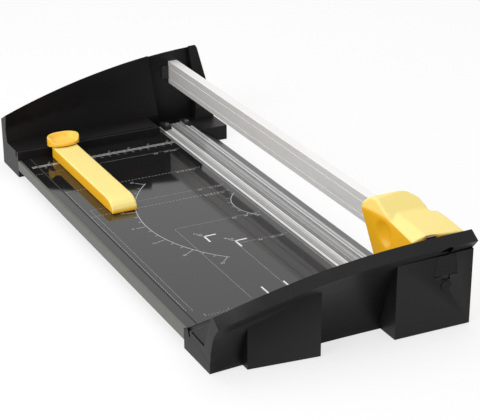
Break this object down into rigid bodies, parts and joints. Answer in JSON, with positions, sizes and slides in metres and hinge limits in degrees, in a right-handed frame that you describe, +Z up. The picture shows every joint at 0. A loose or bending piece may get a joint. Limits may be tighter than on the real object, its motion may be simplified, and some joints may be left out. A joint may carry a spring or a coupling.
{
  "type": "rotary paper trimmer",
  "caption": "Rotary paper trimmer: printed board between two arched end caps, cutting head on a raised rail, clear paper clamp and sliding paper stop.",
  "frame": {"origin": "under the middle of the machine's overall box, on the table", "axes": "+Y along the cut, from the cap where the head is parked to the cap with the paper stop; +X across, towards the cutting edge; +Z up"},
  "size_m": [0.2748, 0.6393, 0.1188],
  "materials": {
    "black_plastic": "fine-textured moulded plastic",
    "grey_strip": "smooth moulded plastic",
    "coated_steel": "glossy dark coating with a pale printed grid",
    "galvanised_steel": "plain sheet steel",
    "bare_aluminium": "extruded, satin anodised",
    "dark_aluminium": "dark coated extrusion",
    "blade_steel": "ground hardened steel",
    "plain_steel": "plain steel",
    "yellow_plastic": "semi-gloss moulded plastic",
    "clear_plastic": "clear moulded plastic",
    "white_acetal": "acetal",
    "grey_nylon": "nylon",
    "black_rubber": "rubber"
  },
  "bodies": {
    "base": {"board_panel": "coated_steel", "board_edge_strip": "grey_strip", "board_screws": "plain_steel", "board_tray": "black_plastic", "tray_channels": "galvanised_steel", "channel_screws": "plain_steel", "cutting_bed": "bare_aluminium", "bed_screws": "plain_steel", "counter_blade": "blade_steel", "counter_blade_screws": "plain_steel", "waste_apron": "dark_aluminium", "near_cover": "black_plastic", "near_ramp_panel": "black_plastic", "near_pocket_liner": "black_plastic", "near_base_plate": "black_plastic", "near_plate_screws": "plain_steel", "far_wall": "black_plastic", "far_cover": "black_plastic", "far_base_plate": "black_plastic", "far_plate_screws": "plain_steel", "rubber_feet": "black_rubber", "guide_rail": "bare_aluminium", "rail_screws": "plain_steel", "near_rail_bracket": "galvanised_steel", "far_rail_bracket": "galvanised_steel", "bracket_screws": "plain_steel", "rail_buffers": "black_rubber", "clamp_pins": "plain_steel", "clamp_springs": "plain_steel", "adjuster_door_pin": "plain_steel"},
    "head": {"head_shell": "yellow_plastic", "head_carriage": "grey_nylon", "head_screws": "plain_steel", "slide_shoes": "white_acetal", "blade_axle": "plain_steel", "blade_spring": "plain_steel", "blade_nut": "plain_steel", "roller_pin": "plain_steel"},
    "blade": {"blade_disc": "blade_steel", "blade_hub": "white_acetal"},
    "roller": {"press_roller": "black_rubber"},
    "clamp": {"clamp_strip": "clear_plastic", "clamp_carriers": "black_plastic"},
    "stop": {"stop_bar": "yellow_plastic", "stop_lever_pin": "plain_steel"},
    "stop_lever": {"stop_lever": "yellow_plastic"},
    "door": {"adjuster_door": "black_plastic"},
    "catch": {"door_catch": "black_plastic"}
  },
  "joints": [
    {"name": "head_travel", "type": "slide", "parent": "base", "child": "head", "axis": [0, 1, 0], "range_m": [0, 0.5125]},
    {"name": "blade_spin", "type": "hinge", "parent": "head", "child": "blade", "pos_m": [0.0955, -0.2635, 0.0431], "axis": [1, 0, 0], "continuous": true},
    {"name": "roller_spin", "type": "hinge", "parent": "head", "child": "roller", "pos_m": [0.077, -0.2635, 0.0323], "axis": [1, 0, 0], "continuous": true},
    {"name": "clamp_press", "type": "slide", "parent": "base", "child": "clamp", "axis": [0, 0, -1], "range_m": [0, 0.001], "stiffness_N_per_m": 1500, "springref_m": -0.002, "deforming": ["clamp_springs"]},
    {"name": "stop_slide", "type": "slide", "parent": "base", "child": "stop", "axis": [1, 0, 0], "range_m": [-0.032, 0.1]},
    {"name": "stop_lock", "type": "hinge", "parent": "stop", "child": "stop_lever", "pos_m": [-0.0826, 0.22225, 0.039], "axis": [1, 0, 0], "range_deg": [0, 10]},
    {"name": "door_hinge", "type": "hinge", "parent": "base", "child": "door", "pos_m": [0.09983, -0.31069, 0.0591], "axis": [0.9996, -0.0289, 0], "range_deg": [0, 40]},
    {"name": "catch_press", "type": "slide", "parent": "base", "child": "catch", "axis": [0.0289, 0.9996, 0], "range_m": [0, 0.001], "stiffness_N_per_m": 400, "springref_m": -0.001}
  ],
  "couplings": [
    {"joint": "blade_spin", "follows": "head_travel", "rad_per_m": -44.444},
    {"joint": "roller_spin", "follows": "head_travel", "rad_per_m": -166.67}
  ]
}
